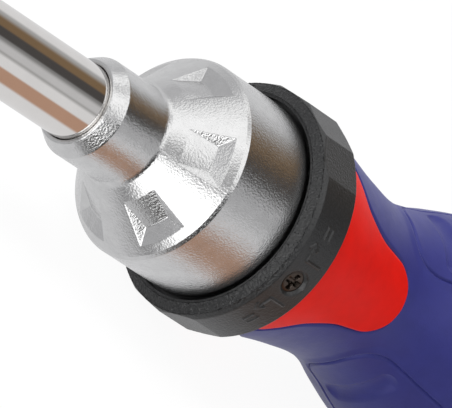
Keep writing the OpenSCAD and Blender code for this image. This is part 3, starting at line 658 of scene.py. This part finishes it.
def make_core():
    """The red core under the shell, with its sockets at both ends."""
    turns = np.arange(0, 360, 2.5)
    skin = [(a, grip_radius(a) - SLEEVE_T - SEAM) for a in np.linspace(GRIP_FRONT, GRIP_BACK, 90)]
    head = [(HUB_FLOOR, 0), (HUB_FLOOR, HUB_R), (SEAT_FLOOR, HUB_R), (SEAT_FLOOR, SEAT_R),
            (GRIP_FRONT, SEAT_R)]
    store = [(GRIP_BACK, STORE_R), (STORE_FLOOR, STORE_R), (STORE_FLOOR, 0)]
    rows = np.array(head + skin + store)
    a = rows[:, :1] + 0 * turns
    r = rows[:, 1:] + 0 * turns
    lathe("core_body", a, r, turns, "red_plastic", "handle", ["handle_core"], sharp=40)


# End cap
CAP_R = GRIP_R * STATIONS[-1][1]
CAP_ROUND = (GRIP_BACK - BUTT) / 2      # how far from the butt the cap starts to round off
CROWN = 0.86                            # its radius at the butt, as a share of the full one
PLUG_R, PLUG_END, PLUG_BEVEL, RIM_BEVEL = 11.05, -103.9, (0.4, 0.45), 0.35
SEAL_FRONT, SEAL_BACK, SEAL_R = -106.1, -107.7, 9.55      # groove of the seal
NOTCHES, NOTCH_MID, NOTCH_HALF, NOTCH_DEEP = 24, -112.2, 1.5, 0.35
BUTT_GROOVE, BUTT_RINGS = 0.3, (1.2, 1.6, 2.4, 2.8)      # its depth, and its edges inwards


def make_cap():
    """Plug with a groove for its seal, notched rim, and a domed butt with a ring groove."""
    turns = np.arange(0, 360, 2.0)
    plug = [(PLUG_END, 0), (PLUG_END, PLUG_R - PLUG_BEVEL[1]), (PLUG_END - PLUG_BEVEL[0], PLUG_R),
            (SEAL_FRONT, PLUG_R), (SEAL_FRONT, SEAL_R), (SEAL_BACK, SEAL_R), (SEAL_BACK, PLUG_R),
            (GRIP_BACK, PLUG_R)]
    rim = [(GRIP_BACK, CAP_R - RIM_BEVEL), (GRIP_BACK - 0.15, CAP_R - 0.08),
           (GRIP_BACK - RIM_BEVEL, CAP_R)]
    dome = [(GRIP_BACK - CAP_ROUND * (1 + math.sin(math.radians(t))),
             CAP_R * (CROWN + (1 - CROWN) * math.cos(math.radians(t)))) for t in range(0, 91, 6)]
    rings = [dome[-1][1] - inwards for inwards in BUTT_RINGS]
    floor = BUTT + BUTT_GROOVE
    butt = [(BUTT, rings[0]), (floor, rings[1]), (floor, rings[2]), (BUTT, rings[3]), (BUTT, 0)]
    rows = np.array(plug + rim + dome + butt)
    a = rows[:, :1] + 0 * turns
    dent = np.clip(1 - ((a - NOTCH_MID) / NOTCH_HALF) ** 2, 0, 1)
    notch = NOTCH_DEEP * dent * step_up(np.cos(np.radians(turns) * NOTCHES), 0.1, 0.9)
    lathe("cap_body", a, rows[:, 1:] - notch, turns, "red_plastic", "storage", ["end_cap"],
          sharp=40)


make_shaft()
make_nose()
make_journal()
make_ring()
make_ring_screw()
make_grip()
make_core()
make_tongues()
make_cap()


# Floor
FLOOR_SIZE, FLOOR_GREY = 6.0, 0.86
GLOW, GLOW_SHARE = 1.04, 0.9      # what the camera sees of the floor is mostly its own glow


def floor_material():
    """Matte grey to the light, all but white to the camera."""
    mat = bpy.data.materials.new("floor")
    mat.use_nodes = True
    nodes, links = mat.node_tree.nodes, mat.node_tree.links
    nodes.remove(nodes["Principled BSDF"])
    out = nodes["Material Output"]
    matte = nodes.new("ShaderNodeBsdfDiffuse")
    matte.inputs["Color"].default_value = (FLOOR_GREY, FLOOR_GREY, FLOOR_GREY, 1)
    glow = nodes.new("ShaderNodeEmission")
    glow.inputs["Color"].default_value = (1, 1, 1, 1)
    glow.inputs["Strength"].default_value = GLOW
    mix = nodes.new("ShaderNodeMixShader")
    path = nodes.new("ShaderNodeLightPath")
    scale = nodes.new("ShaderNodeMath")
    scale.operation = "MULTIPLY"
    scale.inputs[1].default_value = GLOW_SHARE
    links.new(path.outputs["Is Camera Ray"], scale.inputs[0])
    links.new(scale.outputs[0], mix.inputs["Fac"])
    links.new(matte.outputs[0], mix.inputs[1])
    links.new(glow.outputs[0], mix.inputs[2])
    links.new(mix.outputs[0], out.inputs["Surface"])
    return mat


def make_floor():
    bpy.ops.mesh.primitive_plane_add(size=FLOOR_SIZE, location=(0, 0, 0))
    obj = bpy.context.object
    obj.name = "floor"
    obj.data.materials.append(floor_material())
    obj.visible_glossy = False      # the metal mirrors the studio below it too


make_floor()


# Studio
SHEET, PANEL, SOFT = (0.78, 0.78, 0.79), (0.58, 0.58, 0.59), (0.42, 0.42, 0.42)
PINE, OAK, FLAG = (0.5, 0.31, 0.22), (0.21, 0.14, 0.08), (0.075, 0.07, 0.068)
NIGHT = (0.02, 0.02, 0.02)
GLARE, BRIGHT, DIM = (2.2, 2.2, 2.2), (1.4, 1.4, 1.4), (0.24, 0.24, 0.24)

# What the metal mirrors: panels that run along the tool, by their turn about it, behind it,
# beside it and in front of it. The last two take over from these X directions on.
BESIDE_FROM, BESIDE_FULL, FRONT_FROM, FRONT_FULL = -0.4, -0.15, 0.262, 0.282
BEHIND = [(-180, SHEET), (-58, SHEET), (-46, PINE), (-14, PINE), (-7, SHEET), (14, SHEET),
          (24, SOFT), (30, PANEL), (42, PANEL), (56, DIM), (62, FLAG), (80, FLAG), (88, OAK),
          (103, OAK), (122, SOFT), (136, SHEET), (180, SHEET)]
BESIDE = [(-180, SHEET), (-62, SHEET), (-44, DIM), (-24, FLAG), (-8, NIGHT), (26, NIGHT),
          (34, PANEL), (46, BRIGHT), (88, BRIGHT), (95, PANEL), (103, PANEL), (110, BRIGHT),
          (124, BRIGHT), (136, PANEL), (180, SHEET)]
FRONT = [(-180, PANEL), (-90, PANEL), (-66, DIM), (-50, PANEL), (-36, GLARE), (16, GLARE),
         (30, PANEL), (52, SOFT), (74, BRIGHT), (112, BRIGHT), (126, PANEL), (180, PANEL)]
ROOM_GREY, CAMERA_WHITE = (0.45, 0.45, 0.46), (1.0, 1.0, 1.0)


def span(nodes, links, source, low, high):
    """A value's share of the way from low to high."""
    node = nodes.new("ShaderNodeMapRange")
    node.inputs["From Min"].default_value = low
    node.inputs["From Max"].default_value = high
    links.new(source, node.inputs["Value"])
    return node.outputs["Result"]


def make_world():
    """Even white for the camera, even grey for the light, and panels for the reflections."""
    world = bpy.data.worlds.new("studio")
    bpy.context.scene.world = world
    world.use_nodes = True
    nodes, links = world.node_tree.nodes, world.node_tree.links
    back = nodes["Background"]
    back.inputs["Strength"].default_value = 1.0
    coord = nodes.new("ShaderNodeTexCoord")
    split = nodes.new("ShaderNodeSeparateXYZ")
    links.new(coord.outputs["Generated"], split.inputs["Vector"])
    angle = nodes.new("ShaderNodeMath")
    angle.operation = "ARCTAN2"
    links.new(split.outputs["Z"], angle.inputs[0])
    links.new(split.outputs["Y"], angle.inputs[1])
    round_share = span(nodes, links, angle.outputs[0], -math.pi, math.pi)

    def panels(stops):
        ramp = nodes.new("ShaderNodeValToRGB")
        ramp.color_ramp.interpolation = "EASE"
        ramp.color_ramp.elements.remove(ramp.color_ramp.elements[1])
        for k, (degrees, color) in enumerate(stops):
            at = (degrees + 180) / 360
            stop = ramp.color_ramp.elements[0] if k == 0 else ramp.color_ramp.elements.new(at)
            stop.position = at
            stop.color = (*color, 1)
        links.new(round_share, ramp.inputs["Fac"])
        return ramp.outputs["Color"]

    def blend(share, first, second):
        mix = nodes.new("ShaderNodeMix")
        mix.data_type = "RGBA"
        links.new(share, mix.inputs["Factor"])
        for key, value in (("A", first), ("B", second)):
            if isinstance(value, tuple):
                mix.inputs[key].default_value = (*value, 1)
            else:
                links.new(value, mix.inputs[key])
        return mix.outputs["Result"]

    beside = span(nodes, links, split.outputs["X"], BESIDE_FROM, BESIDE_FULL)
    front = span(nodes, links, split.outputs["X"], FRONT_FROM, FRONT_FULL)
    studio = blend(front, blend(beside, panels(BEHIND), panels(BESIDE)), panels(FRONT))
    path = nodes.new("ShaderNodeLightPath")
    shade = blend(path.outputs["Is Glossy Ray"], ROOM_GREY, studio)
    shown = blend(path.outputs["Is Camera Ray"], shade, CAMERA_WHITE)
    links.new(shown, back.inputs["Color"])


make_world()


# Lamps, in metres and watts
AIM = Vector((0.0, 0.0, 0.02))
LAMPS = {"key": ((0.35, -0.25, 0.75), 0.5, 3.9),
         "low": ((0.56, 0.69, 0.17), 0.3, 0.9),
         "back": ((-0.5, -0.6, 0.4), 0.8, 1.0)}


def area(name, place, size, power):
    data = bpy.data.lights.new(name, "AREA")
    data.shape = "RECTANGLE"
    data.size, data.size_y = size, size
    data.energy = power
    obj = bpy.data.objects.new(name, data)
    bpy.context.scene.collection.objects.link(obj)
    obj.location = place
    obj.rotation_mode = "QUATERNION"
    obj.rotation_quaternion = (AIM - Vector(place)).to_track_quat("-Z", "Y")
    obj.visible_glossy = False      # the panels of the studio make the reflections


for name, (place, size, power) in LAMPS.items():
    area(name, place, size, power)


# Camera, as fitted to the photograph: its directions in the frame, and where it stands from the
# tool's zero
RIGHT = Vector((-0.598, 0.279, 0.751)).normalized()
UP = Vector((0.399, -0.710, 0.581)).normalized()
AHEAD = Vector((-0.695, -0.647, -0.313)).normalized()
STEP_RIGHT, STEP_UP, DISTANCE = 0.874, -0.708, 873.1
LENS, SENSOR = 529.4, 36


def make_camera():
    data = bpy.data.cameras.new("camera")
    data.sensor_width = SENSOR
    data.lens = LENS
    data.clip_start, data.clip_end = 0.05, 20
    obj = bpy.data.objects.new("camera", data)
    bpy.context.scene.collection.objects.link(obj)
    turn = Matrix((RIGHT, UP, -AHEAD)).transposed()
    zero = Vector((SHIFT_X, 0, SHIFT_Z))
    spot = zero + STEP_RIGHT * RIGHT + STEP_UP * UP - DISTANCE * AHEAD
    obj.matrix_world = Matrix.Translation(spot * MM) @ turn.to_4x4()
    bpy.context.scene.camera = obj


make_camera()
bpy.context.scene.view_settings.view_transform = "Standard"
